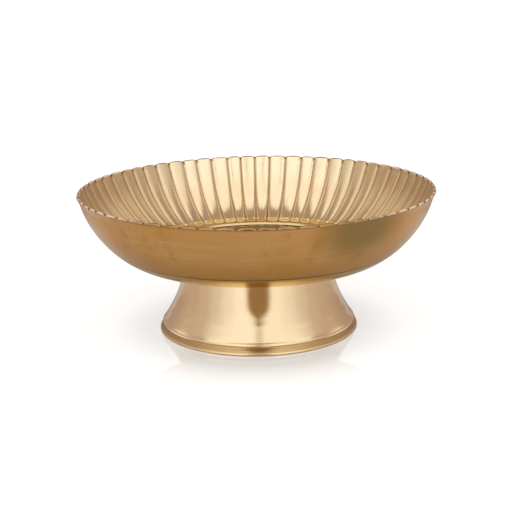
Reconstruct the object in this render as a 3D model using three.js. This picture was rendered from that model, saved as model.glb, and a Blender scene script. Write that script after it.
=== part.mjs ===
// Footed brass bowl, gadrooned inside. Millimetres, +Z up.
// The origin is the centre of the foot's ground face, and the whole object turns about Z.
//
// How it comes apart, from the top: the bowl is one casting, turned smooth outside, with a short spigot and a
// blind tapped hole under its floor. The spigot drops into the hole in the hollow foot's web. One bolt comes up
// from inside the foot, through a spring washer and a wide plain washer, and pulls the foot onto the bowl.

import * as THREE from 'three';

// ---------------------------------------------------------------- driving dimensions
const RIM_R = 101.5;            // widest radius, at the rim
const RIM_TOP = 82.1;           // top of a rib's crown at the rim
const RIM_NOTCH_DROP = 1.1;     // how far a groove cuts down into the rim
const RIBS = 64;                // convex ribs round the inside
const RIB_DEPTH_LOW = 1.2;      // groove depth at the ribs' lower ends
const RIB_DEPTH_HIGH = 1.1;     // groove depth just under the rim
const WALL_LOW = 4.6;           // wall under a rib's crown, at its lower end
const WALL_HIGH = 2.1;          // wall under a rib's crown, just under the rim

const FLOOR_Z = 45.1;           // flat turned floor inside the bowl
const FLOOR_R = 61.2;           // edge of the floor
const LEDGE_Z = 46.3;           // narrow ledge round the floor, at the foot of the ribs' end faces
const LEDGE_R = [62.5, 70.2];
const UNDER_Z = 41.0;           // flat seat under the bowl
const SPIGOT_R = 9.0;           // locating spigot under the seat
const SPIGOT_H = 2.4;
const TAPPED_R = 3.3;           // blind hole for the bolt
const TAPPED_TOP = 43.4;

const GAP = 0.3;                // clearance between neighbouring pieces
const FOOT_TOP = UNDER_Z - GAP;
const WEB = 3.0;                // web across the top of the hollow foot
const FOOT_WALL = 2.4;
const FOOT_GROUND_IN = 54.3;    // inner radius of the ground face

const WASHER_R = 15.0;          // wide plain washer
const WASHER_T = 1.6;
const BOLT_R = 3.0;             // M6
const BOLT_END = 42.9;          // top of the shank, inside the tapped hole
const HEX_FLATS = 10.0;         // across flats
const HEX_H = 4.0;
const SPRING_R = 5.6;           // spring washer
const SPRING_T = 1.6;
const SPRING_SLIT = 1.2;

const BOWL_SEGMENTS = 2 * RIBS; // smooth surfaces of the bowl
const RIB_SEGMENTS = 4 * RIBS;  // ribbed surfaces of the bowl
const FOOT_SEGMENTS = 64;

// Outer profile of the bowl, [radius, height], from the seat's edge up to the rim.
const OUTSIDE = [
  [57.5, 41.0], [64.5, 41.4], [71.9, 43.5], [78.9, 47.3], [85.45, 52.95], [90.9, 59.3], [95.5, 66.45],
  [98.9, 74.1], [100.8, 79.9],
];

// Outer profile of the foot, [radius, height], from the ground up: a plain band that leans out to a round bottom
// edge, then from the band's top edge a hollow flare that rises to a nearly upright neck.
const FOOT_OUTSIDE = [
  [57.0, 0.0], [57.5, 0.45], [57.2, 1.5], [56.6, 2.8], [56.1, 4.3], [55.5, 5.1], [54.6, 6.4], [52.5, 9.8],
  [49.9, 14.2], [47.3, 19.8], [45.3, 25.6], [43.8, 31.6], [43.0, 37.0], [42.8, 40.2], [42.3, FOOT_TOP],
];

// ---------------------------------------------------------------- materials
const bowlBrass = new THREE.MeshStandardMaterial({ color: 0xb98a4e, roughness: 0.38, metalness: 1.0 });
const footBrass = new THREE.MeshStandardMaterial({ color: 0xcfa468, roughness: 0.28, metalness: 1.0 });
const boltSteel = new THREE.MeshStandardMaterial({ color: 0xa8a9a6, roughness: 0.42, metalness: 1.0 });
const washerSteel = new THREE.MeshStandardMaterial({ color: 0xb0b1ae, roughness: 0.38, metalness: 1.0 });
const springSteel = new THREE.MeshStandardMaterial({ color: 0x8f908e, roughness: 0.45, metalness: 1.0 });

// ---------------------------------------------------------------- a closed skin through rings about Z
// A ring is { n, at(angle) -> [radius, height] }, or { pole: height }. The first and last are poles.
// Neighbouring rings may differ in n by a whole ratio.
function skin(rings) {
  const position = [];
  const index = [];
  const first = [];
  for (const ring of rings) {
    first.push(position.length / 3);
    if ('pole' in ring) {
      position.push(0, 0, ring.pole);
      continue;
    }
    for (let i = 0; i < ring.n; i++) {
      const a = (2 * Math.PI * i) / ring.n;
      const [r, z] = ring.at(a, i / ring.n);
      position.push(r * Math.cos(a), r * Math.sin(a), z);
    }
  }
  for (let k = 0; k + 1 < rings.length; k++) {
    const [lower, upper] = [rings[k], rings[k + 1]];
    const [l, u] = [first[k], first[k + 1]];
    if ('pole' in lower) {
      for (let i = 0; i < upper.n; i++) index.push(l, u + i, u + ((i + 1) % upper.n));
    } else if ('pole' in upper) {
      for (let i = 0; i < lower.n; i++) index.push(l + ((i + 1) % lower.n), l + i, u);
    } else {
      const swap = upper.n < lower.n;
      const [fine, coarse] = swap ? [lower, upper] : [upper, lower];
      const [f, c] = swap ? [l, u] : [u, l];
      const ratio = fine.n / coarse.n;
      const half = Math.floor(ratio / 2);
      const tri = (p, q, s) => (swap ? index.push(p, s, q) : index.push(p, q, s));
      for (let j = 0; j < coarse.n; j++) {
        const here = c + j;
        const next = c + ((j + 1) % coarse.n);
        const at = (i) => f + ((j * ratio + i) % fine.n);
        for (let i = 0; i < half; i++) tri(here, at(i), at(i + 1));
        tri(here, at(half), next);
        for (let i = half; i < ratio; i++) tri(next, at(i), at(i + 1));
      }
    }
  }
  const geometry = new THREE.BufferGeometry();
  geometry.setAttribute('position', new THREE.Float32BufferAttribute(position, 3));
  geometry.setIndex(index);
  geometry.computeVertexNormals();
  return geometry;
}

const level = (n, r, z) => ({ n, at: () => [r, z] });

// ---------------------------------------------------------------- bowl
// How far across a rib an angle is: 0 on the crown, 1 in the groove. A groove lies on each of the X and Y axes.
function acrossRib(turn) {
  const t = (turn * RIBS) % 1;
  return Math.abs(2 * t - 1);
}

// Unit normal of the outside profile at point j, pointing into the bowl.
function inward(j) {
  const a = OUTSIDE[Math.max(j - 1, 0)];
  const b = OUTSIDE[Math.min(j + 1, OUTSIDE.length - 1)];
  const [dr, dz] = [b[0] - a[0], b[1] - a[1]];
  const d = Math.hypot(dr, dz);
  return [-dz / d, dr / d];
}

const LOW = 2.12;                         // where along OUTSIDE the ribs' lower ends stand
const TOP = OUTSIDE.length - 1;

function outsideAt(x) {
  const j = Math.min(Math.floor(x), TOP - 1);
  const s = x - j;
  const [n0, n1] = [inward(j), inward(j + 1)];
  return {
    p: [0, 1].map((k) => OUTSIDE[j][k] * (1 - s) + OUTSIDE[j + 1][k] * s),
    n: [0, 1].map((k) => n0[k] * (1 - s) + n1[k] * s),
  };
}

function ribRing(x) {
  const s = (x - LOW) / (TOP - LOW);
  const wall = WALL_LOW + (WALL_HIGH - WALL_LOW) * s;
  const depth = RIB_DEPTH_LOW + (RIB_DEPTH_HIGH - RIB_DEPTH_LOW) * s;
  const { p, n } = outsideAt(x);
  return {
    n: RIB_SEGMENTS,
    at: (a, turn) => {
      const t = wall - depth * acrossRib(turn) ** 2;
      return [p[0] + n[0] * t, p[1] + n[1] * t];
    },
  };
}

function scallop(n, r, z, drop) {
  return { n, at: (a, turn) => [r, z - drop * acrossRib(turn) ** 2] };
}

const bowlRings = [
  { pole: FLOOR_Z },
  level(RIBS, 30, FLOOR_Z),
  level(BOWL_SEGMENTS, FLOOR_R, FLOOR_Z),
  level(BOWL_SEGMENTS, LEDGE_R[0], LEDGE_Z),
  level(BOWL_SEGMENTS, LEDGE_R[1], LEDGE_Z),
];
for (const x of [LOW, 3, 4, 5, 6, 7, TOP]) bowlRings.push(ribRing(x));
bowlRings.push(
  scallop(RIB_SEGMENTS, RIM_R - 1.75, RIM_TOP - 0.5, RIM_NOTCH_DROP),
  scallop(RIB_SEGMENTS, RIM_R - 0.9, RIM_TOP, RIM_NOTCH_DROP),
  scallop(BOWL_SEGMENTS, RIM_R, RIM_TOP - 0.7, 0.8),
);
for (let j = TOP; j >= 0; j--) bowlRings.push(level(BOWL_SEGMENTS, ...OUTSIDE[j]));
bowlRings.push(
  level(32, SPIGOT_R, UNDER_Z),
  level(32, SPIGOT_R, UNDER_Z - SPIGOT_H),
  level(16, TAPPED_R, UNDER_Z - SPIGOT_H),
  level(16, TAPPED_R, TAPPED_TOP),
  { pole: TAPPED_TOP + 0.9 },
);

// ---------------------------------------------------------------- foot
const FOOT_INSIDE = [
  [54.3, 2.4], [51.9, 6.6], [48.9, 11.4], [45.7, 17.6], [43.2, 24.0], [41.5, 30.4],
  [43.0 - FOOT_WALL, FOOT_TOP - WEB - 1.5], [43.0 - FOOT_WALL - 1.5, FOOT_TOP - WEB],
];

const footProfile = [
  ...FOOT_OUTSIDE,
  [SPIGOT_R + GAP, FOOT_TOP],
  [SPIGOT_R + GAP, FOOT_TOP - WEB],
  ...[...FOOT_INSIDE].reverse(),
  [FOOT_GROUND_IN, 0.0],
  FOOT_OUTSIDE[0],
].map(([r, z]) => new THREE.Vector2(r, z));

// A lathe turns its profile about Y, so it is stood up along Z.
function turned(profile, segments) {
  const geometry = new THREE.LatheGeometry(profile, segments);
  geometry.rotateX(Math.PI / 2);
  return geometry;
}

// ---------------------------------------------------------------- fasteners
function ringWasher(outer, inner, thickness, segments) {
  const v = (r, z) => new THREE.Vector2(r, z);
  const c = 0.25;
  return turned(
    [v(inner, 0), v(outer - c, 0), v(outer, c), v(outer, thickness - c), v(outer - c, thickness), v(inner, thickness), v(inner, 0)],
    segments,
  );
}

function splitWasher(outer, inner, thickness, slit) {
  const shape = new THREE.Shape();
  const steps = 28;
  const [o, i] = [Math.asin(slit / 2 / outer), Math.asin(slit / 2 / inner)];
  const along = (r, a0, a1) => {
    for (let k = 0; k <= steps; k++) {
      const a = a0 + ((a1 - a0) * k) / steps;
      const [x, y] = [r * Math.cos(a), r * Math.sin(a)];
      if (r === outer && k === 0) shape.moveTo(x, y);
      else shape.lineTo(x, y);
    }
  };
  along(outer, o, 2 * Math.PI - o);
  along(inner, 2 * Math.PI - i, i);
  shape.closePath();
  return new THREE.ExtrudeGeometry(shape, { depth: thickness, bevelEnabled: false });
}

const washerTop = FOOT_TOP - WEB - GAP;
const springTop = washerTop - WASHER_T - GAP;
const headTop = springTop - SPRING_T - GAP;

// The bolt is one skin: a chamfered hexagon below, a round flange face, and a round shank with a chamfered end.
function hexBolt() {
  const hex = (scale, z) => ({
    n: 24,
    at: (a) => {
      const sector = Math.PI / 3;
      const off = (a % sector) - sector / 2;
      return [(scale * (HEX_FLATS / 2)) / Math.cos(off), z];
    },
  });
  return skin([
    { pole: BOLT_END },
    level(12, BOLT_R - 0.6, BOLT_END),
    level(12, BOLT_R, BOLT_END - 0.6),
    level(12, BOLT_R, headTop),
    hex(0.97, headTop),
    hex(1, headTop - 0.3),
    hex(1, headTop - HEX_H + 0.7),
    level(24, HEX_FLATS / 2 - 0.25, headTop - HEX_H),
    { pole: headTop - HEX_H },
  ]);
}

// ---------------------------------------------------------------- assembly
function piece(name, geometry, material, z = 0) {
  const mesh = new THREE.Mesh(geometry, material);
  mesh.name = name;
  mesh.position.z = z;
  return mesh;
}

const assembly = new THREE.Group();
assembly.add(
  piece('bowl', skin(bowlRings), bowlBrass),
  piece('pedestal_foot', turned(footProfile, FOOT_SEGMENTS), footBrass),
  piece('plain_washer', ringWasher(WASHER_R, BOLT_R + GAP, WASHER_T, 36), washerSteel, washerTop - WASHER_T),
  piece('spring_washer', splitWasher(SPRING_R, BOLT_R + GAP, SPRING_T, SPRING_SLIT), springSteel, springTop - SPRING_T),
  piece('hex_bolt', hexBolt(), boltSteel),
);

export default assembly;
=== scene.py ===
import math

import bpy
import numpy as np
from mathutils import Matrix, Vector


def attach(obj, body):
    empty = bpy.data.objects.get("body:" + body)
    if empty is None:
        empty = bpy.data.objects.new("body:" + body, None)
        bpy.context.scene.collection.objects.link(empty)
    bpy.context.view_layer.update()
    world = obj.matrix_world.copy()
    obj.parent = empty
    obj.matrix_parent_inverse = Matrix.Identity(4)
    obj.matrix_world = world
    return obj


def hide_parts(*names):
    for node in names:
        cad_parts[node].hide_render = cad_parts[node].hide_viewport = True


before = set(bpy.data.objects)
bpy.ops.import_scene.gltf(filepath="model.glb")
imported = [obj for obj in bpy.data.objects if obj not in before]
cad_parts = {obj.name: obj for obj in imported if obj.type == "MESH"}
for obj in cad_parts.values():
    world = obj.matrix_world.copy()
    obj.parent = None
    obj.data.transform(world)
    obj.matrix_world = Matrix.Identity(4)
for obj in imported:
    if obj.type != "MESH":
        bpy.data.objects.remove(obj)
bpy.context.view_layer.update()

MM = 0.001
RIBS = 64
rng = np.random.default_rng(7)


# ------------------------------------------------------------------ profiles, in millimetres
def spline(points, step):
    """A smooth curve through the points (centripetal Catmull-Rom), sampled every step millimetres."""
    p = np.array(points, float)
    p = np.vstack([2 * p[0] - p[1], p, 2 * p[-1] - p[-2]])
    t = np.concatenate([[0], np.cumsum(np.sqrt(np.hypot(*np.diff(p, axis=0).T)))])
    out = []
    for i in range(1, len(p) - 2):
        n = max(4, int(np.hypot(*(p[i + 1] - p[i])) / 0.05))
        x = np.linspace(t[i], t[i + 1], n, endpoint=False)[:, None]

        def lerp(a, b, ta, tb):
            return (tb - x) / (tb - ta) * a + (x - ta) / (tb - ta) * b

        a1 = lerp(p[i - 1], p[i], t[i - 1], t[i])
        a2 = lerp(p[i], p[i + 1], t[i], t[i + 1])
        a3 = lerp(p[i + 1], p[i + 2], t[i + 1], t[i + 2])
        b1 = lerp(a1, a2, t[i - 1], t[i + 1])
        b2 = lerp(a2, a3, t[i], t[i + 2])
        out.append(lerp(b1, b2, t[i], t[i + 1]))
    q = np.vstack(out + [p[-2][None, :]])
    s = np.concatenate([[0], np.cumsum(np.hypot(*np.diff(q, axis=0).T))])
    want = np.linspace(0, s[-1], max(2, int(round(s[-1] / step)) + 1))
    return np.stack([np.interp(want, s, q[:, 0]), np.interp(want, s, q[:, 1])], 1)


def normals(curve):
    """Unit normals on the left of a curve, so into the bowl for one that climbs outwards."""
    d = np.gradient(curve, axis=0)
    d /= np.hypot(*d.T)[:, None]
    return np.stack([-d[:, 1], d[:, 0]], 1)


BOWL_OUT = [
    (57.5, 41.02), (61.3, 41.05), (65.3, 41.45), (69.4, 42.4), (73.3, 43.95), (77.0, 46.0),
    (80.5, 48.5), (83.8, 51.35), (86.9, 54.5), (89.79, 57.89), (92.4, 61.38), (94.72, 65.07),
    (96.74, 68.93), (98.44, 72.94), (99.82, 77.07), (100.55, 79.3),
]
FOOT_OUT = [
    (54.55, 6.48), (53.8, 7.6), (52.6, 9.6), (51.3, 11.9), (49.95, 14.2), (48.75, 16.7), (47.4, 19.6),
    (46.25, 22.5), (45.3, 25.6), (44.45, 28.8), (43.75, 32.0), (43.2, 35.2), (42.9, 38.0), (42.8, 40.2),
]


# ------------------------------------------------------------------ a skin through rings about Z
class Skin:
    """Collects rings of points about Z, from one pole or edge to the other, and makes them one closed mesh."""

    def __init__(self, drift=None, drift_from=0.0):
        self.drift, self.drift_from = drift, drift_from
        self.rings = []
        self.arc = 0.0
        self.last = None

    def ring(self, n, r, z, mat, groove=0.0):
        """r, z and groove are numbers or arrays of n. mat is the material of the strip that follows this ring."""
        r = np.broadcast_to(np.asarray(r, float), (n,))
        z = np.broadcast_to(np.asarray(z, float), (n,))
        g = np.broadcast_to(np.asarray(groove, float), (n,))
        mid = (float(r.min()), float(z.max()))
        if self.last is not None:
            self.arc += math.hypot(mid[0] - self.last[0], mid[1] - self.last[1])
        self.last = mid
        self.rings.append((n, r, z, g, self.arc, mat))

    def mesh(self, name, materials, sharp=34.0):
        co, lathe, groove, first = [], [], [], []
        count = 0
        for n, r, z, g, arc, _ in self.rings:
            a = 2 * np.pi * np.arange(n) / n
            if self.drift is not None and r.max() > self.drift_from:
                a = a + self.drift(a)
            c, s = np.cos(a), np.sin(a)
            first.append(count)
            if n == 1:
                co.append([[0, 0, z[0]]])
                lathe.append([[0, 0, arc]])
                groove.append([0.0])
                count += 1
                continue
            co.append(np.stack([r * c, r * s, z], 1))
            lathe.append(np.stack([c, s, np.full(n, arc)], 1))
            groove.append(g)
            count += n
        faces, mats = [], []
        for k in range(len(self.rings) - 1):
            n0, n1, mat = self.rings[k][0], self.rings[k + 1][0], self.rings[k][5]
            f0, f1 = first[k], first[k + 1]
            new = []
            if n0 == n1:
                i = np.arange(n0)
                j = (i + 1) % n0
                new = np.stack([f0 + i, f1 + i, f1 + j, f0 + j], 1).tolist()
            elif n0 == 1:
                new = [[f0, f1 + i, f1 + (i + 1) % n1] for i in range(n1)]
            elif n1 == 1:
                new = [[f0 + (i + 1) % n0, f0 + i, f1] for i in range(n0)]
            else:
                swap = n1 < n0
                (fine, nf), (coarse, nc) = ((f0, n0), (f1, n1)) if swap else ((f1, n1), (f0, n0))
                ratio = nf // nc
                half = ratio // 2
                for j in range(nc):
                    here, there = coarse + j, coarse + (j + 1) % nc
                    at = [fine + (j * ratio + i) % nf for i in range(ratio + 1)]
                    tris = [[here, at[i], at[i + 1]] for i in range(half)]
                    tris += [[here, at[half], there]]
                    tris += [[there, at[i], at[i + 1]] for i in range(half, ratio)]
                    new += [t[::-1] for t in tris] if swap else tris
            faces += new
            mats += [mat] * len(new)
        co = np.vstack(co) * MM
        me = bpy.data.meshes.new(name)
        me.from_pydata(co.tolist(), [], faces)
        me.polygons.foreach_set("material_index", mats)
        me.polygons.foreach_set("use_smooth", [True] * len(faces))
        a = me.attributes.new("lathe", "FLOAT_VECTOR", "POINT")
        a.data.foreach_set("vector", np.vstack(lathe).astype(np.float32).ravel())
        a = me.attributes.new("groove", "FLOAT", "POINT")
        a.data.foreach_set("value", np.concatenate(groove).astype(np.float32))
        for m in materials:
            me.materials.append(m)
        me.update()
        me.validate()
        me.set_sharp_from_angle(angle=math.radians(sharp))
        ob = bpy.data.objects.new(name, me)
        bpy.context.scene.collection.objects.link(ob)
        return ob


# ------------------------------------------------------------------ node helpers
class Nodes:
    """Short calls for building a material's node tree."""

    def __init__(self, tree):
        self.t = tree
        self.x = -1600

    def new(self, kind, **values):
        n = self.t.nodes.new(kind)
        self.x += 20
        n.location = (self.x, 0)
        for k, v in values.items():
            setattr(n, k, v)
        return n

    def put(self, socket, value):
        if isinstance(value, bpy.types.NodeSocket):
            self.t.links.new(value, socket)
        elif value is not None:
            socket.default_value = value

    def math(self, op, a, b=None, c=None, clamp=False):
        n = self.new("ShaderNodeMath", operation=op, use_clamp=clamp)
        for s, v in zip(n.inputs, (a, b, c)):
            self.put(s, v)
        return n.outputs[0]

    def vec(self, op, a, b=None, scale=None):
        n = self.new("ShaderNodeVectorMath", operation=op)
        self.put(n.inputs[0], a)
        if b is not None:
            self.put(n.inputs[1], b)
        if scale is not None:
            self.put(n.inputs[3], scale)
        return n.outputs[1] if op in ("LENGTH", "DOT_PRODUCT", "DISTANCE") else n.outputs[0]

    def attribute(self, name, vector=True):
        n = self.new("ShaderNodeAttribute", attribute_name=name)
        return n.outputs["Vector"] if vector else n.outputs["Fac"]

    def noise(self, vector, scale, detail=3.0, rough=0.55, distortion=0.0):
        n = self.new("ShaderNodeTexNoise")
        self.put(n.inputs["Vector"], vector)
        for k, v in (("Scale", scale), ("Detail", detail), ("Roughness", rough), ("Distortion", distortion)):
            n.inputs[k].default_value = v
        return n.outputs[0]

    def remap(self, value, a, b, c=0.0, d=1.0, smooth=True):
        n = self.new("ShaderNodeMapRange", interpolation_type="SMOOTHSTEP" if smooth else "LINEAR", clamp=True)
        for s, v in zip(n.inputs, (value, a, b, c, d)):
            self.put(s, v)
        return n.outputs[0]

    def mix(self, factor, a, b, blend="MIX"):
        n = self.new("ShaderNodeMix", data_type="RGBA", blend_type=blend)
        self.put(n.inputs[0], factor)
        self.put(n.inputs[6], a)
        self.put(n.inputs[7], b)
        return n.outputs[2]

    def split(self, vector):
        n = self.new("ShaderNodeSeparateXYZ")
        self.put(n.inputs[0], vector)
        return n.outputs

    def join(self, x, y, z):
        n = self.new("ShaderNodeCombineXYZ")
        for s, v in zip(n.inputs, (x, y, z)):
            self.put(s, v)
        return n.outputs[0]

    def bump(self, height, strength, distance, normal=None):
        n = self.new("ShaderNodeBump")
        n.inputs["Strength"].default_value = strength
        n.inputs["Distance"].default_value = distance
        self.put(n.inputs["Height"], height)
        if normal is not None:
            self.put(n.inputs["Normal"], normal)
        return n.outputs[0]


def rgb(r, g, b):
    return (r, g, b, 1.0)


def metal(name, rough_uniform=None):
    """An empty metal material: its tree helper and its Principled shader."""
    m = bpy.data.materials.new(name)
    m.use_nodes = True
    t = m.node_tree
    t.nodes.clear()
    n = Nodes(t)
    shader = n.new("ShaderNodeBsdfPrincipled")
    shader.inputs["Metallic"].default_value = 1.0
    if rough_uniform is not None:
        shader.inputs["Roughness"].default_value = rough_uniform
    out = n.new("ShaderNodeOutputMaterial")
    t.links.new(shader.outputs[0], out.inputs[0])
    return m, n, shader


def stretched(n, around, along):
    """Texture space for worked metal: around scales with the angle, along with the distance along the profile."""
    x, y, z = n.split(n.attribute("lathe"))
    return n.join(n.math("MULTIPLY", x, around), n.math("MULTIPLY", y, around), n.math("MULTIPLY", z, along))


def place(n):
    return n.new("ShaderNodeTexCoord").outputs["Object"]


# ------------------------------------------------------------------ materials
def outside_brass():
    """Satin brass, brushed on the lathe: fine level lines and slow drifts of colour, with painted shade low down and on
    the lip's outer edge front and back, painted reflection in the seat band and its top line, and a dull olive patch of
    painted reflection.
    """
    m, n, s = metal("brass_bowl_outside")
    fine = n.noise(stretched(n, 2.5, 5.5), 1.0, 4.0, 0.65)
    coarse = n.noise(stretched(n, 1.6, 0.9), 1.0, 3.0, 0.6)
    cloud = n.noise(place(n), 26.0, 4.0, 0.6)
    drift = n.noise(place(n), 9.0, 2.0, 0.5)
    x, y, height = n.split(place(n))
    stain = n.noise(n.vec("MULTIPLY", place(n), (1.0, 1.0, 0.6)), 60.0, 5.0, 0.7)
    colour = n.mix(n.remap(drift, 0.3, 0.7), rgb(0.69, 0.385, 0.130), rgb(0.755, 0.435, 0.170))
    colour = n.mix(n.remap(cloud, 0.50, 0.72, 0.0, 0.7), colour, rgb(0.66, 0.325, 0.070))
    colour = n.mix(n.remap(stain, 0.54, 0.70, 0.0, 0.6), colour, rgb(0.53, 0.25, 0.055))
    colour = n.mix(n.remap(fine, 0.35, 0.75, 0.0, 0.4), colour, rgb(0.53, 0.30, 0.10))
    colour = n.mix(n.remap(coarse, 0.5, 0.8, 0.0, 0.5), colour, rgb(0.80, 0.54, 0.27))
    # painted shade: darker and browner towards the bottom, standing in for the shadowed floor that this part mirrors
    colour = n.mix(n.remap(height, 0.066, 0.048, 0.0, 0.9), colour, rgb(0.60, 0.315, 0.068))
    # painted reflection: a dull olive patch on the front right, standing in for the reflection of something dark in the
    # room
    away = n.vec("LENGTH", n.vec("MULTIPLY", n.vec("SUBTRACT", place(n), (0.0535, -0.0840, 0.0770)), (1.0, 1.0, 1.35)))
    painted_dark_reflection = n.math("MULTIPLY", n.remap(away, 0.008, 0.034, 1.0, 0.0), n.remap(cloud, 0.25, 0.6, 0.8, 1.0))
    colour = n.mix(n.math("MULTIPLY", painted_dark_reflection, 0.95), colour, rgb(0.34, 0.235, 0.085))
    # the turner polished a smoother band round the seat; its lighter gold colour is a painted reflection of the foot
    # below, and the dark line along its top edge is a painted reflection of the shadow where the foot meets the floor
    band = n.remap(height, 0.0499, 0.0495, 0.0, 1.0)
    colour = n.mix(band, colour, n.mix(n.remap(fine, 0.35, 0.75), rgb(0.70, 0.48, 0.12), rgb(0.61, 0.40, 0.09)))
    painted_shadow_line = n.remap(n.math("ABSOLUTE", n.math("SUBTRACT", height, 0.0499)), 0.0002, 0.0006, 1.0, 0.0)
    colour = n.mix(n.math("MULTIPLY", painted_shadow_line, 0.9), colour, rgb(0.20, 0.10, 0.025))
    # painted shade: the lip's outer edge is painted darker at front and back, where its highlight should not show
    radius = n.math("SQRT", n.math("ADD", n.math("POWER", x, 2.0), n.math("POWER", y, 2.0)))
    dull = n.math("MULTIPLY", n.remap(height, 0.0800, 0.0808), n.remap(n.math("DIVIDE", n.math("ABSOLUTE", x), radius), 0.84, 0.52, 0.0, 0.9))
    colour = n.mix(dull, colour, rgb(0.40, 0.22, 0.075))
    n.put(s.inputs["Base Color"], colour)
    rough = n.math("ADD", n.remap(fine, 0.3, 0.75, 0.15, 0.23), n.remap(cloud, 0.4, 0.7, -0.01, 0.03))
    rough = n.math("MULTIPLY", rough, n.math("MULTIPLY_ADD", band, -0.65, 1.0))
    n.put(s.inputs["Roughness"], rough)
    s.inputs["Anisotropic"].default_value = 0.3
    tangent = n.new("ShaderNodeTangent", direction_type="RADIAL", axis="Z")
    n.put(s.inputs["Tangent"], tangent.outputs[0])
    n.put(s.inputs["Normal"], n.bump(fine, 0.10, 0.0003))
    return m


def inside_brass():
    """Polished brass of the ribs: streaks that run down each rib, dark lines in the grooves, bright crowns; painted
    shade on the side ribs, a painted highlight high on the ribs at front and back, painted gold on the ribs' cut ends,
    painted light and shade along the lip, and painted shadow in the lip's notches.
    """
    m, n, s = metal("brass_bowl_inside")
    streak = n.noise(stretched(n, 160.0, 0.10), 1.0, 3.0, 0.6)
    cloud = n.noise(place(n), 34.0, 3.0, 0.6)
    groove = n.attribute("groove", vector=False)
    colour = n.mix(n.remap(cloud, 0.35, 0.7), rgb(0.88, 0.73, 0.49), rgb(0.83, 0.66, 0.41))
    colour = n.mix(n.remap(streak, 0.5, 0.85, 0.0, 0.5), colour, rgb(0.66, 0.45, 0.23))
    x, y, z = n.split(place(n))
    radius = n.math("SQRT", n.math("ADD", n.math("POWER", x, 2.0), n.math("POWER", y, 2.0)))
    # painted shade: the ribs to the left and right are painted darker and browner; they are also made rougher
    flank = n.remap(n.math("DIVIDE", n.math("ABSOLUTE", x), radius), 0.42, 0.85)
    colour = n.mix(flank, colour, rgb(0.63, 0.475, 0.275))
    # painted highlight: the upper ribs at front and back are painted paler
    high = n.math("MULTIPLY", n.remap(z, 0.060, 0.076, 0.0, 0.75), n.math("SUBTRACT", 1.0, flank))
    colour = n.mix(high, colour, rgb(0.98, 0.87, 0.62))
    # painted reflection: the ribs' cut lower ends are painted a deeper gold, standing in for the brass floor they
    # mirror
    end = n.math("MULTIPLY", n.remap(radius, 0.0708, 0.0704), n.remap(z, 0.0466, 0.0470))
    colour = n.mix(end, colour, rgb(0.93, 0.69, 0.29))
    # the lip's top: painted highlight, pale pink, on the sides, and painted shade, dark brown, at front and back
    painted_lip_light = n.mix(n.remap(n.math("DIVIDE", n.math("ABSOLUTE", x), radius), 0.42, 0.78), rgb(0.44, 0.265, 0.10), rgb(0.96, 0.82, 0.66))
    colour = n.mix(n.math("MAXIMUM", n.remap(z, 0.0813, 0.0817), n.remap(radius, 0.1002, 0.1005)), colour, painted_lip_light)
    colour = n.mix(n.remap(groove, 0.70, 1.0, 0.0, 0.45), colour, rgb(0.60, 0.41, 0.19))
    colour = n.mix(n.remap(groove, 0.90, 1.0, 0.0, 0.65), colour, rgb(0.36, 0.22, 0.09))
    # painted shadow: where the grooves cut through the lip (groove value above 1) they are painted near-black
    colour = n.mix(n.remap(groove, 1.02, 1.15, 0.0, 0.85), colour, rgb(0.09, 0.05, 0.02))
    n.put(s.inputs["Base Color"], colour)
    n.put(s.inputs["Roughness"], n.math("ADD", n.remap(streak, 0.3, 0.8, 0.15, 0.26), n.math("ADD", n.remap(groove, 0.84, 1.0, 0.0, 0.2), n.math("MULTIPLY", flank, 0.11))))
    n.put(s.inputs["Normal"], n.bump(streak, 0.16, 0.0003))
    return m


def petals(n, angle, radius, count, low, high, power, shift=0.0):
    """Signed distance, in millimetres along the radius, inside (+) the outline of a ring of pointed petals."""
    turn = n.math("ADD", n.math("MULTIPLY", angle, count / (2 * math.pi)), 100.0 + shift)
    across = n.math("ABSOLUTE", n.math("MULTIPLY_ADD", n.math("FRACT", turn), 2.0, -1.0))
    edge = n.math("MULTIPLY_ADD", n.math("SUBTRACT", 1.0, n.math("POWER", across, power)), high - low, low)
    return n.math("SUBTRACT", edge, radius), across


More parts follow.
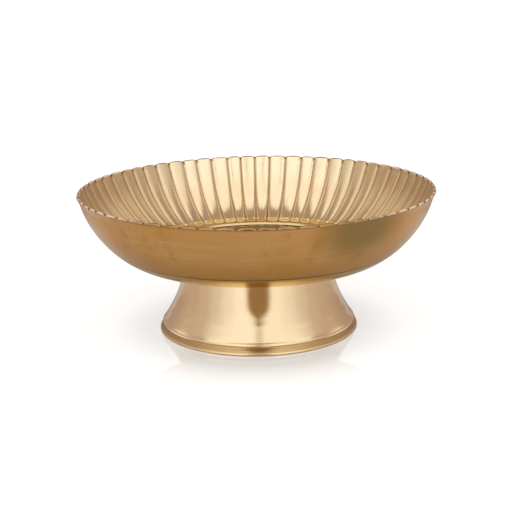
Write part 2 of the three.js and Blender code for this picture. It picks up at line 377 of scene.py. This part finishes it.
def floor_brass():
    """The turned floor: lathe rings, one bright bead, and inside it a chased medallion of plain petals."""
    m, n, s = metal("brass_bowl_floor")
    x, y, _ = n.split(place(n))
    radius = n.math("MULTIPLY", n.math("SQRT", n.math("ADD", n.math("POWER", x, 2.0), n.math("POWER", y, 2.0))), 1000.0)
    angle = n.math("ARCTAN2", y, x)
    rings = n.noise(stretched(n, 1.5, 4.0), 1.0, 4.0, 0.6)
    cloud = n.noise(place(n), 40.0, 3.0, 0.6)
    lines = None
    for count, low, high, power, shift, width in (
        (60, 57.9, 60.5, 1.6, 0.0, 0.42),
        (60, 57.9, 59.6, 1.8, 0.0, 0.30),
        (48, 50.0, 55.6, 1.6, 0.0, 0.34),
        (48, 50.0, 53.4, 1.8, 0.0, 0.26),
        (16, 24.0, 48.2, 1.9, 0.5, 0.5),
        (16, 22.0, 43.6, 1.7, 0.5, 0.34),
        (16, 28.0, 48.2, 1.5, 0.0, 0.42),
        (12, 9.0, 21.0, 1.7, 0.0, 0.42),
        (12, 8.0, 17.0, 1.7, 0.5, 0.34),
    ):
        inside, across = petals(n, angle, radius, count, low, high, power, shift)
        line = n.remap(n.math("ABSOLUTE", inside), width * 0.5, width * 1.35, 1.0, 0.0)
        line = n.math("MULTIPLY", line, n.remap(radius, low - 1.0, low - 0.6))
        lines = line if lines is None else n.math("MAXIMUM", lines, line)
    for at, width in ((60.65, 0.5), (57.6, 0.5), (56.2, 0.5), (49.3, 0.45), (22.0, 0.4), (7.4, 0.4)):
        line = n.remap(n.math("ABSOLUTE", n.math("SUBTRACT", radius, at)), width * 0.5, width, 1.0, 0.0)
        lines = n.math("MAXIMUM", lines, line)
    stipple = n.new("ShaderNodeTexVoronoi", feature="F1")
    n.put(stipple.inputs["Vector"], place(n))
    stipple.inputs["Scale"].default_value = 1150.0
    dots = n.remap(stipple.outputs["Distance"], 0.12, 0.42, 1.0, 0.0)
    inside, _ = petals(n, angle, radius, 16, 24.0, 48.2, 1.9, 0.5)
    inside2, _ = petals(n, angle, radius, 16, 28.0, 48.2, 1.5, 0.0)
    ground = n.math("MULTIPLY", n.remap(n.math("MAXIMUM", inside, inside2), -0.4, 0.0, 1.0, 0.0), n.remap(radius, 49.2, 49.0, 0.0, 1.0))
    border, _ = petals(n, angle, radius, 48, 50.0, 55.6, 1.6, 0.0)
    ground2 = n.math("MULTIPLY", n.remap(border, -0.3, 0.0, 1.0, 0.0), n.remap(radius, 56.2, 56.0, 0.0, 1.0))
    ground = n.math("MAXIMUM", ground, ground2)
    edge, _ = petals(n, angle, radius, 60, 57.9, 60.5, 1.6, 0.0)
    ground3 = n.math("MULTIPLY", n.remap(edge, -0.3, 0.0, 1.0, 0.0), n.remap(radius, 61.0, 60.8, 0.0, 1.0))
    ground = n.math("MAXIMUM", ground, n.math("MULTIPLY", ground3, n.remap(radius, 58.0, 58.2)))
    chased = n.math("MAXIMUM", lines, n.math("MULTIPLY", ground, n.math("MULTIPLY_ADD", dots, 0.5, 0.35)))
    colour = n.mix(n.remap(cloud, 0.3, 0.7), rgb(0.82, 0.64, 0.38), rgb(0.73, 0.54, 0.28))
    colour = n.mix(n.remap(rings, 0.45, 0.8, 0.0, 0.3), colour, rgb(0.52, 0.34, 0.14))
    colour = n.mix(n.math("MULTIPLY", chased, 0.93), colour, rgb(0.055, 0.035, 0.014))
    n.put(s.inputs["Base Color"], colour)
    n.put(s.inputs["Roughness"], n.math("ADD", n.remap(rings, 0.3, 0.8, 0.16, 0.26), n.math("MULTIPLY", chased, 0.3)))
    height = n.math("SUBTRACT", n.math("MULTIPLY", rings, 0.12), chased)
    n.put(s.inputs["Normal"], n.bump(height, 0.5, 0.0003))
    return m


def foot_brass():
    """Polished brass of the foot: fine turning lines and faint upright polishing marks."""
    m, n, s = metal("brass_foot")
    fine = n.noise(stretched(n, 2.0, 4.5), 1.0, 4.0, 0.65)
    rub = n.noise(stretched(n, 90.0, 0.05), 1.0, 3.0, 0.6)
    cloud = n.noise(place(n), 30.0, 3.0, 0.6)
    colour = n.mix(n.remap(cloud, 0.3, 0.7), rgb(0.88, 0.72, 0.485), rgb(0.84, 0.67, 0.43))
    colour = n.mix(n.remap(fine, 0.5, 0.85, 0.0, 0.28), colour, rgb(0.68, 0.48, 0.25))
    colour = n.mix(n.remap(rub, 0.5, 0.85, 0.0, 0.3), colour, rgb(0.92, 0.78, 0.56))
    n.put(s.inputs["Base Color"], colour)
    n.put(s.inputs["Roughness"], n.math("ADD", n.remap(fine, 0.3, 0.75, 0.075, 0.125), n.remap(cloud, 0.45, 0.7, 0.0, 0.02)))
    s.inputs["Anisotropic"].default_value = 0.25
    tangent = n.new("ShaderNodeTangent", direction_type="RADIAL", axis="Z")
    n.put(s.inputs["Tangent"], tangent.outputs[0])
    n.put(s.inputs["Normal"], n.bump(fine, 0.08, 0.0003))
    return m


def band_brass():
    """The foot's base band: browner, with clear turning lines, and a painted highlight along its bottom edge."""
    m, n, s = metal("brass_foot_band")
    fine = n.noise(stretched(n, 1.6, 3.0), 1.0, 3.0, 0.6)
    cloud = n.noise(place(n), 45.0, 3.0, 0.6)
    colour = n.mix(n.remap(fine, 0.35, 0.7), rgb(0.60, 0.415, 0.205), rgb(0.50, 0.335, 0.155))
    colour = n.mix(n.remap(cloud, 0.5, 0.75, 0.0, 0.4), colour, rgb(0.46, 0.29, 0.12))
    # painted highlight: the band's lowest edge is painted pale
    colour = n.mix(n.remap(n.split(place(n))[2], 0.0019, 0.0012), colour, rgb(0.90, 0.70, 0.44))
    n.put(s.inputs["Base Color"], colour)
    n.put(s.inputs["Roughness"], n.remap(fine, 0.3, 0.75, 0.14, 0.22))
    s.inputs["Anisotropic"].default_value = 0.25
    tangent = n.new("ShaderNodeTangent", direction_type="RADIAL", axis="Z")
    n.put(s.inputs["Tangent"], tangent.outputs[0])
    n.put(s.inputs["Normal"], n.bump(fine, 0.15, 0.0003))
    return m


def hollow_brass():
    """Inside the foot: as cast and only roughly turned, dull and a little tarnished."""
    m, n, s = metal("brass_foot_hollow")
    grain = n.noise(place(n), 900.0, 4.0, 0.6)
    cloud = n.noise(place(n), 55.0, 4.0, 0.65)
    lines = n.noise(stretched(n, 1.5, 1.2), 1.0, 3.0, 0.6)
    colour = n.mix(n.remap(cloud, 0.3, 0.7), rgb(0.52, 0.34, 0.14), rgb(0.40, 0.27, 0.13))
    colour = n.mix(n.remap(grain, 0.5, 0.8, 0.0, 0.45), colour, rgb(0.24, 0.15, 0.07))
    n.put(s.inputs["Base Color"], colour)
    n.put(s.inputs["Roughness"], n.remap(grain, 0.3, 0.75, 0.46, 0.62))
    rough = n.math("ADD", n.math("MULTIPLY", grain, 0.6), lines)
    n.put(s.inputs["Normal"], n.bump(rough, 0.35, 0.0003))
    return m


def zinc(name, base, dark, low, high, seed):
    """Zinc-plated steel of a fastener: dull grain, darker in patches."""
    m, n, s = metal(name)
    here = n.vec("ADD", place(n), (seed, seed * 0.7, 0.0))
    grain = n.noise(here, 1500.0, 3.0, 0.6)
    cloud = n.noise(here, 160.0, 4.0, 0.6)
    colour = n.mix(n.remap(cloud, 0.35, 0.7), base, dark)
    colour = n.mix(n.remap(grain, 0.55, 0.8, 0.0, 0.5), colour, rgb(0.75, 0.75, 0.72))
    n.put(s.inputs["Base Color"], colour)
    n.put(s.inputs["Roughness"], n.remap(cloud, 0.3, 0.75, low, high))
    n.put(s.inputs["Normal"], n.bump(grain, 0.2, 0.0002))
    return m


# ------------------------------------------------------------------ bowl
OUT, IN, FLOOR = 0, 1, 2
N_RIB, N_OUT, N_FLOOR = 16 * RIBS, 256, 512


def across(n):
    """0 on a rib's crown, 1 in a groove."""
    turn = np.arange(n) / n * RIBS
    return np.abs(2 * (turn % 1) - 1)


def rib_drift(a):
    """The ribs were cut by hand: how far round a point is shifted from even spacing, in radians."""
    return 2 * np.pi / RIBS * (0.05 * np.sin(9 * a + 0.7) + 0.045 * np.sin(16 * a + 2.1) + 0.03 * np.sin(25 * a + 4.0))


def section(t):
    """How deep a point of a rib's section lies, from 0 on its broad crown to 1 in the narrow groove."""
    return 0.40 * t**2 + 0.60 * t**6


per_rib = rng.normal(0, 1, (4, RIBS))
RIB_OF = (np.arange(N_RIB) * RIBS // N_RIB) % RIBS
UNEVEN = 1 + 0.05 * per_rib[0][RIB_OF]
CROWN = 0.05 * per_rib[1][RIB_OF] * (1 - across(N_RIB) ** 2)
LIP_LOW = 0.10 * np.clip(1.0 + per_rib[2][RIB_OF], 0.0, 2.5) * (1 - across(N_RIB) ** 2)
T = across(N_RIB)
G = section(T)


def relief(r, a):
    """Height, in millimetres, of the chased medallion's pillowed petals."""
    def petal(count, low, high, power, shift, rise):
        t = np.abs(2 * ((a * count / (2 * np.pi) + 100 + shift) % 1) - 1)
        edge = low + (high - low) * (1 - t**power)
        inside = np.clip((edge - r) / (high - low), 0, 1) * (r > low)
        return rise * np.sin(np.clip(inside * 2.2, 0, 1) * np.pi / 2)

    h = petal(16, 24.0, 48.2, 1.9, 0.5, 0.32)
    h = np.maximum(h, petal(16, 28.0, 48.2, 1.5, 0.0, 0.18))
    h = np.maximum(h, petal(48, 50.0, 55.6, 1.6, 0.0, 0.28))
    h = np.maximum(h, petal(60, 57.9, 60.5, 1.6, 0.0, 0.30))
    h = np.maximum(h, petal(12, 9.0, 21.0, 1.7, 0.0, 0.30))
    h = np.maximum(h, 0.5 * np.sqrt(np.clip(1 - (r / 6.5) ** 2, 0, 1)))
    return h


def make_bowl():
    b = Skin(rib_drift, 64.0)
    z0, ledge = 45.1, 46.3
    b.ring(1, 0, z0 - 0.35 + 0.5, FLOOR)
    for r in np.concatenate([[1.2, 2.6], np.linspace(4.0, 56.0, 40), [56.8, 57.4], np.linspace(57.9, 60.4, 4)]):
        n = 64 if r < 3 else (128 if r < 6 else N_FLOOR)
        aa = 2 * np.pi * np.arange(n) / n
        h = 0.0 if 56.4 < r < 57.8 else relief(np.full(n, r), aa) - 0.35
        b.ring(n, r, z0 + h, FLOOR)
    # up the turned step to the narrow ledge under the ribs' ends
    for r, z in ((60.8, z0 - 0.1), (61.1, z0), (61.3, z0 + 0.2), (62.1, ledge - 0.2), (62.3, ledge - 0.05), (62.6, ledge), (66.3, ledge), (69.9, ledge)):
        b.ring(N_FLOOR, r, z, FLOOR)
    # the ribs' lower ends: cut off nearly upright where the floor was turned
    curve = spline(BOWL_OUT, 0.25)
    norm = normals(curve)
    s = np.concatenate([[0], np.cumsum(np.hypot(*np.diff(curve, axis=0).T))])
    start = np.interp(72.05, curve[:, 0], s)
    xs = np.linspace(start, s[-1], 38)

    def at(x):
        p = np.array([np.interp(x, s, curve[:, k]) for k in (0, 1)])
        n = np.array([np.interp(x, s, norm[:, k]) for k in (0, 1)])
        return p, n / np.hypot(*n)

    def wall(x):
        k = (x - start) / (s[-1] - start)
        return 4.6 - 2.3 * k - 0.5 * min(max((k - 0.8) / 0.2, 0.0), 1.0) ** 2, 1.25 - 0.1 * k, k

    p, n = at(start)
    t, d, k = wall(start)
    crown = p + n * t
    b.ring(N_RIB, 70.25, ledge, IN, T)
    for f, dr in ((0.35, 0.03), (0.7, 0.08), (0.9, 0.2)):
        depth = d * G * UNEVEN
        top = np.maximum(crown[1] - depth, ledge + 0.02)
        b.ring(N_RIB, 70.25 + dr, ledge + (top - ledge) * f, IN, T)
    for i, x in enumerate(xs):
        p, n = at(x)
        t, d, k = wall(x)
        depth = d * G * UNEVEN
        h = t - depth + CROWN
        if i == 0:
            p = p + np.array([0.2, 0.0])
        b.ring(N_RIB, p[0] + n[0] * h, np.maximum(p[1] + n[1] * h, ledge + 0.02), IN, T)
    # the lip: the ribs run straight up into it, and the grooves cut right across its rounded edge
    lip = [((99.25, 80.8), (-0.88, 0.47))]
    lip += [((100.6 - 1.15 * math.cos(x), 80.95 + 1.15 * math.sin(x)), (-math.cos(x), math.sin(x))) for x in np.radians((34, 52, 70, 90))]
    lip += [((100.6 + 0.9 * math.sin(x), 80.8 + 1.3 * math.cos(x)), (math.sin(x), math.cos(x))) for x in np.radians((16, 32, 48, 62, 75, 88))]
    for i, ((r, z), e) in enumerate(lip):
        deep = (1.15, 1.15, 1.15, 1.15, 1.15, 1.15, 1.15, 1.0, 0.75, 0.4, 0.0)[i]
        cut = deep * G * UNEVEN
        r, z = r - cut * 0.6 * e[0], z - cut * (0.4 + 0.6 * e[1]) - LIP_LOW * max(e[1], 0.0)
        # edge lifts the groove value on the lip above 1, so the lip's notches take the painted near-black shadow of
        # brass_bowl_inside
        edge = (0.10, 0.22, 0.29, 0.32, 0.32, 0.32, 0.29, 0.24, 0.12, 0.0, 0.0)[i]
        b.ring(N_RIB, np.minimum(r, 101.5), np.minimum(z, 82.1), IN if i < 9 else OUT, T * (1.0 + edge))
    b.ring(N_OUT, 101.15, 80.2, OUT)
    outer = spline(BOWL_OUT, 1.9)[::-1]
    for r, z in outer:
        b.ring(N_OUT, r, z, OUT)
    for r in (50.0, 42.0, 30.0, 18.0, 10.2):
        b.ring(N_OUT if r > 20 else 128, r, 41.0, OUT)
    for r, z in ((9.0, 41.0), (9.0, 38.9), (8.7, 38.6), (3.9, 38.6), (3.3, 39.0), (3.3, 43.4)):
        b.ring(128 if r > 5 else 64, r, z, OUT)
    b.ring(1, 0, 44.3, OUT)
    return b.mesh("urli_bowl", [outside_brass(), inside_brass(), floor_brass()])


# ------------------------------------------------------------------ foot
BODY, BAND, HOLLOW = 0, 1, 2


def make_foot():
    b = Skin()
    n = 256
    for r, z in (
        (54.6, 0.0), (57.0, 0.0), (57.3, 0.06), (57.45, 0.22), (57.5, 0.45), (57.46, 0.8), (57.34, 1.15),
        (57.16, 1.5), (56.95, 1.9), (56.72, 2.4), (56.52, 2.9), (56.34, 3.4), (56.2, 3.9), (56.08, 4.3), (56.02, 4.5),
    ):
        b.ring(n, r, z, BAND)
    for r, z in ((55.9, 4.68), (55.7, 4.84), (55.52, 4.98), (55.4, 5.14), (55.3, 5.4), (55.2, 5.65), (55.03, 5.9), (54.8, 6.2)):
        b.ring(n, r, z, BODY)
    for r, z in spline(FOOT_OUT, 0.8):
        b.ring(n, r, z, BODY)
    for r, z in ((42.74, 40.45), (42.55, 40.64), (42.3, 40.7), (38.0, 40.7), (24.0, 40.7), (9.9, 40.7)):
        b.ring(n, r, z, HOLLOW)
    for r, z in ((9.3, 40.4), (9.3, 37.95), (9.6, 37.7)):
        b.ring(n, r, z, HOLLOW)
    for r in (12.0, 16.0, 22.0, 30.0, 37.0, 38.6):
        b.ring(n, r, 37.7, HOLLOW)
    for r, z in ((39.6, 37.4), (40.3, 36.9), (40.6, 36.1)):
        b.ring(n, r, z, HOLLOW)
    inner = spline([(40.6, 35.6), (41.5, 30.4), (43.2, 24.0), (45.7, 17.6), (48.9, 11.4), (51.9, 6.6), (54.3, 2.4)], 1.4)
    for r, z in inner:
        b.ring(n, r, z, HOLLOW)
    for r, z in ((54.3, 1.2), (54.3, 0.3), (54.6, 0.0)):
        b.ring(n, r, z, HOLLOW)
    return b


def make_closed(skin, name, materials):
    ob = skin.mesh(name, materials)
    import bmesh

    bm = bmesh.new()
    bm.from_mesh(ob.data)
    bmesh.ops.remove_doubles(bm, verts=bm.verts, dist=1e-7)
    bm.to_mesh(ob.data)
    bm.free()
    ob.data.set_sharp_from_angle(angle=math.radians(34))
    return ob


bowl = make_bowl()
foot = make_closed(make_foot(), "turned_foot", [foot_brass(), band_brass(), hollow_brass()])
for piece, node, slot in ((bowl, "bowl", "bowl_brass"), (foot, "pedestal_foot", "foot_brass")):
    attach(piece, "root")
    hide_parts(node)

for node, mat in (
    ("plain_washer", zinc("zinc_washer", rgb(0.62, 0.62, 0.60), rgb(0.46, 0.46, 0.43), 0.32, 0.46, 0.3)),
    ("spring_washer", zinc("zinc_spring", rgb(0.48, 0.48, 0.47), rgb(0.33, 0.33, 0.31), 0.36, 0.5, 0.9)),
    ("hex_bolt", zinc("zinc_bolt", rgb(0.60, 0.60, 0.58), rgb(0.42, 0.42, 0.39), 0.32, 0.46, 1.7)),
):
    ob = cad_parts[node]
    ob.data.materials.clear()
    ob.data.materials.append(mat)

# ------------------------------------------------------------------ camera
R = 0.1015
cam_data = bpy.data.cameras.new("camera")
cam = bpy.data.objects.new("camera", cam_data)
bpy.context.scene.collection.objects.link(cam)
bpy.context.scene.camera = cam
cam_data.sensor_width = 36.0
cam_data.lens = 1121.98 / 512 * 36.0
cam_data.clip_start, cam_data.clip_end = 0.05, 50.0
FAR, EL, ROLL, YAW, PITCH = 6.5197 * R, math.radians(18.462), math.radians(1.1396), math.radians(-0.0785), -0.0597
e = EL + PITCH
fwd = Vector((math.sin(YAW) * math.cos(e), math.cos(YAW) * math.cos(e), -math.sin(e)))
right = fwd.cross(Vector((0, 0, 1))).normalized()
up = right.cross(fwd)
right, up = (
    math.cos(ROLL) * right - math.sin(ROLL) * up,
    math.cos(ROLL) * up + math.sin(ROLL) * right,
)
cam.matrix_world = Matrix((
    (right.x, up.x, -fwd.x, 0.0),
    (right.y, up.y, -fwd.y, -FAR * math.cos(EL)),
    (right.z, up.z, -fwd.z, FAR * math.sin(EL)),
    (0.0, 0.0, 0.0, 1.0),
))


# ------------------------------------------------------------------ studio
def in_gap(n, x, y, el, soft=0.6):
    """1 inside the dark upright gap in front of the object, which narrows upwards to a slit. el is in degrees."""
    side = n.math("MULTIPLY", n.math("ABSOLUTE", n.math("ARCTAN2", x, n.math("MULTIPLY", y, -1.0))), 180 / math.pi)
    k = n.math("MAXIMUM", n.math("DIVIDE", n.math("SUBTRACT", el, 4.0), 29.0), 0.0)
    wide = n.math("MULTIPLY", n.math("SQRT", n.math("MAXIMUM", n.math("SUBTRACT", 1.0, n.math("POWER", k, 2.2)), 0.0)), 16.5)
    slit = n.math("MAXIMUM", n.remap(el, 29.0, 37.0, 4.6, 1.9), n.remap(el, 37.0, 60.0, 1.9, 0.5))
    slit = n.math("MINIMUM", slit, n.remap(el, 37.0, 60.0, 4.6, 0.5))
    wide = n.math("MAXIMUM", wide, slit)
    return n.remap(n.math("SUBTRACT", wide, side), -soft, soft)


GAP = rgb(0.35, 0.21, 0.095)
TENT = (
    (0.0, (1.16, 1.12, 1.08)), (28.0, (1.16, 1.12, 1.08)), (45.0, (1.00, 0.95, 0.90)), (63.0, (0.80, 0.72, 0.64)),
    (82.0, (0.67, 0.56, 0.49)), (105.0, (0.60, 0.48, 0.41)), (140.0, (0.47, 0.36, 0.31)), (180.0, (0.43, 0.33, 0.28)),
)


def round_the_tent(n, x, y):
    """The tent's light by direction round the object: brightest in front, falling off to the sides and back."""
    side = n.math("MULTIPLY", n.math("ABSOLUTE", n.math("ARCTAN2", x, n.math("MULTIPLY", y, -1.0))), 180 / math.pi)
    ramp = n.new("ShaderNodeValToRGB")
    n.put(ramp.inputs[0], n.math("DIVIDE", side, 180.0))
    cr = ramp.color_ramp
    cr.interpolation = "EASE"
    while len(cr.elements) < len(TENT):
        cr.elements.new(0.5)
    for element, (at, _) in zip(cr.elements, TENT):
        element.position = at / 180.0
    for element, (_, colour) in zip(cr.elements, TENT):
        element.color = (*colour, 1.0)
    return side, ramp.outputs[0]


def floor_material():
    """White glossy acrylic. The camera sees it glowing as the burnt-out white of a product shot, with a soft contact
    shadow painted by dimming that glow near the foot, and a mirror image that fades away from the foot; the metal sees
    it as plain white board near the object, and further out as a glowing board painted with the tent's light and its
    dark gap."""
    m = bpy.data.materials.new("stage_white")
    m.use_nodes = True
    t = m.node_tree
    t.nodes.clear()
    n = Nodes(t)
    x, y, _ = n.split(place(n))
    away = n.math("SQRT", n.math("ADD", n.math("POWER", x, 2.0), n.math("POWER", y, 2.0)))
    plain = n.new("ShaderNodeBsdfDiffuse")
    plain.inputs["Color"].default_value = (0.56, 0.60, 0.64, 1)
    glow = n.new("ShaderNodeEmission")
    # painted shadow: the glow is dimmed near the foot
    n.put(glow.inputs["Strength"], n.remap(away, 0.054, 0.090, 0.50, 0.69))
    both = n.new("ShaderNodeAddShader")
    t.links.new(plain.outputs[0], both.inputs[0])
    t.links.new(glow.outputs[0], both.inputs[1])
    mirror = n.new("ShaderNodeBsdfGlossy")
    mirror.inputs["Color"].default_value = (1, 1, 1, 1)
    mirror.inputs["Roughness"].default_value = 0.0
    seen = n.new("ShaderNodeMixShader")
    n.put(seen.inputs[0], n.remap(away, 0.055, 0.120, 0.26, 0.0))
    t.links.new(both.outputs[0], seen.inputs[1])
    t.links.new(mirror.outputs[0], seen.inputs[2])
    near = n.new("ShaderNodeBsdfDiffuse")
    near.inputs["Color"].default_value = (0.77, 0.79, 0.81, 1)
    # painted light: further out, the board seen by the metal glows with the tent's light and its dark gap
    far = n.new("ShaderNodeEmission")
    _, light = round_the_tent(n, x, y)
    n.put(far.inputs["Color"], n.mix(in_gap(n, x, y, 0.0), light, GAP))
    board = n.new("ShaderNodeMixShader")
    n.put(board.inputs[0], n.remap(away, 0.20, 0.30))
    t.links.new(near.outputs[0], board.inputs[1])
    t.links.new(far.outputs[0], board.inputs[2])
    mix = n.new("ShaderNodeMixShader")
    n.put(mix.inputs[0], n.new("ShaderNodeLightPath").outputs["Is Camera Ray"])
    t.links.new(board.outputs[0], mix.inputs[1])
    t.links.new(seen.outputs[0], mix.inputs[2])
    out = n.new("ShaderNodeOutputMaterial")
    t.links.new(mix.outputs[0], out.inputs[0])
    return m


me = bpy.data.meshes.new("stage_floor")
S = 6.0
me.from_pydata([(-S, -S, 0), (S, -S, 0), (S, S, 0), (-S, S, 0)], [], [(0, 1, 2, 3)])
me.materials.append(floor_material())
stage = bpy.data.objects.new("stage_floor", me)
bpy.context.scene.collection.objects.link(stage)


def studio_world():
    """A soft tent of light: brightest in front and overhead, falling off smoothly to the sides and back, with a dark
    upright gap in front that narrows to a slit."""
    world = bpy.data.worlds.new("studio")
    bpy.context.scene.world = world
    world.use_nodes = True
    t = world.node_tree
    t.nodes.clear()
    n = Nodes(t)
    where = n.vec("NORMALIZE", n.new("ShaderNodeTexCoord").outputs["Generated"])
    x, y, z = n.split(where)
    el = n.math("MULTIPLY", n.math("ARCSINE", z), 180 / math.pi)
    side, light = round_the_tent(n, x, y)
    # the overhead box: tilted 37 degrees to the front, wider than it is deep, and faded out towards the floor
    tilt = n.math("MULTIPLY", n.math("ARCTAN2", n.math("MULTIPLY", y, -1.0), z), 180 / math.pi)
    across_box = n.math("DIVIDE", n.math("MULTIPLY", n.math("ARCSINE", x), 180 / math.pi), 56.0)
    along_box = n.math("DIVIDE", n.math("SUBTRACT", tilt, 37.0), 46.0)
    off = n.math("SQRT", n.math("ADD", n.math("POWER", across_box, 2.0), n.math("POWER", along_box, 2.0)))
    soft = n.remap(tilt, 0.0, 30.0, 0.06, 0.34)
    top = n.remap(off, n.math("ADD", 1.0, soft), n.math("SUBTRACT", 1.0, soft))
    top = n.math("MULTIPLY", top, n.remap(el, 18.0, 50.0))
    light = n.mix(top, light, rgb(1.18, 1.14, 1.09))
    # above the back the tent is darker
    back = n.math("MULTIPLY", n.math("MULTIPLY", n.remap(el, 28.0, 45.0), n.remap(off, 0.94, 1.06)), n.remap(side, 60.0, 100.0))
    light = n.mix(back, light, rgb(0.45, 0.34, 0.285))
    # pale panels high to either side of the back, which the lip's rounded crowns pick up
    panel = n.math("MULTIPLY", n.remap(el, 14.0, 28.0), n.remap(el, 53.0, 39.0))
    panel = n.math("MULTIPLY", panel, n.math("MULTIPLY", n.remap(side, 96.0, 120.0), n.remap(side, 170.0, 146.0)))
    light = n.mix(panel, light, rgb(1.05, 0.95, 0.88))
    light = n.mix(in_gap(n, x, y, el), light, GAP)
    tent = n.new("ShaderNodeBackground")
    n.put(tent.inputs[0], light)
    tent.inputs[1].default_value = 1.0
    white = n.new("ShaderNodeBackground")
    white.inputs[0].default_value = (1, 1, 1, 1)
    white.inputs[1].default_value = 1.0
    path = n.new("ShaderNodeLightPath")
    mix = n.new("ShaderNodeMixShader")
    n.put(mix.inputs[0], n.math("MAXIMUM", path.outputs["Is Camera Ray"], path.outputs["Is Singular Ray"]))
    t.links.new(tent.outputs[0], mix.inputs[1])
    t.links.new(white.outputs[0], mix.inputs[2])
    out = n.new("ShaderNodeOutputWorld")
    t.links.new(mix.outputs[0], out.inputs[0])


studio_world()

vs = bpy.context.scene.view_settings
vs.view_transform = "Standard"
vs.look = "None"
vs.exposure = 0.0
vs.gamma = 1.0
